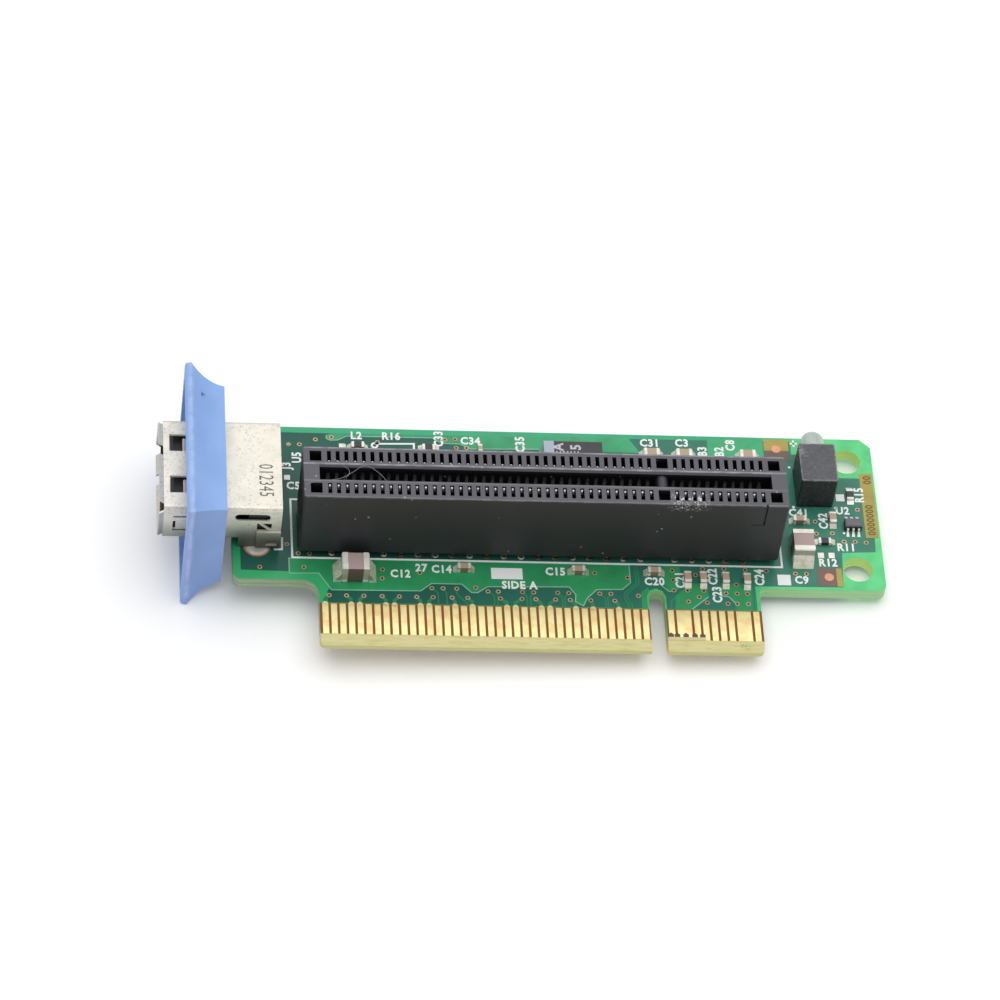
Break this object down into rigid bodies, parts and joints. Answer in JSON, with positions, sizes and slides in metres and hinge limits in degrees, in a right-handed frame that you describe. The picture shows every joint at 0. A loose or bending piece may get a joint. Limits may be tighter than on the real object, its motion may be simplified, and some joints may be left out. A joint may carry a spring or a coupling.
{
  "type": "pcie riser card",
  "caption": "Riser card for a low server: a board with a keyed card edge, a vertical slot for an add-in card, a USB port with a sliding lock collar and an indicator light.",
  "frame": {"origin": "the card edge: in the middle of the key notch, at the edge's tip, on the board's component side", "axes": "+Z out of the slot, away from the component side; -Y out of the card edge; -X out of the USB mouth"},
  "size_m": [0.085, 0.0316, 0.0173],
  "materials": {
    "solder_mask": "green solder mask over copper and glass laminate",
    "gold": "gold plate, satin, with fine insertion scratches",
    "slot_plastic": "black moulded plastic, satin",
    "contact_metal": "gold flash over nickel",
    "tin_plate": "tin plated steel, satin with fine grain",
    "black_plastic": "black moulded plastic, matt",
    "blue_plastic": "blue moulded plastic, satin",
    "clear_epoxy": "milky clear epoxy",
    "solder": "tin and solder, bright to satin",
    "ceramic": "fired grey-brown ceramic",
    "resistor_film": "black glaze",
    "copper": "bare copper and tinned pads"
  },
  "bodies": {
    "card": {"circuit_board": "solder_mask", "gold_fingers_top": "gold", "gold_fingers_bottom": "gold", "slot_housing": "slot_plastic", "slot_contacts_near": "contact_metal", "slot_contacts_far": "contact_metal", "usb_shell": "tin_plate", "usb_insulator": "black_plastic", "usb_contacts": "gold", "led_holder": "black_plastic", "led_lens": "clear_epoxy", "led_leads": "solder", "power_capacitor_bodies": "ceramic", "power_capacitor_ends": "solder", "chip_capacitor_bodies": "ceramic", "chip_capacitor_ends": "solder", "resistor_bodies": "resistor_film", "resistor_ends": "solder", "solder_fillets": "solder", "tantalum_body": "black_plastic", "tantalum_tabs": "solder", "switch_chip_body": "black_plastic", "switch_chip_leads": "solder", "bare_pads": "copper"},
    "collar": {"lock_collar": "blue_plastic"}
  },
  "joints": [
    {"name": "collar_slide", "type": "slide", "parent": "card", "child": "collar", "axis": [-1, 0, 0], "range_m": [-0.0008, 0.005]}
  ]
}
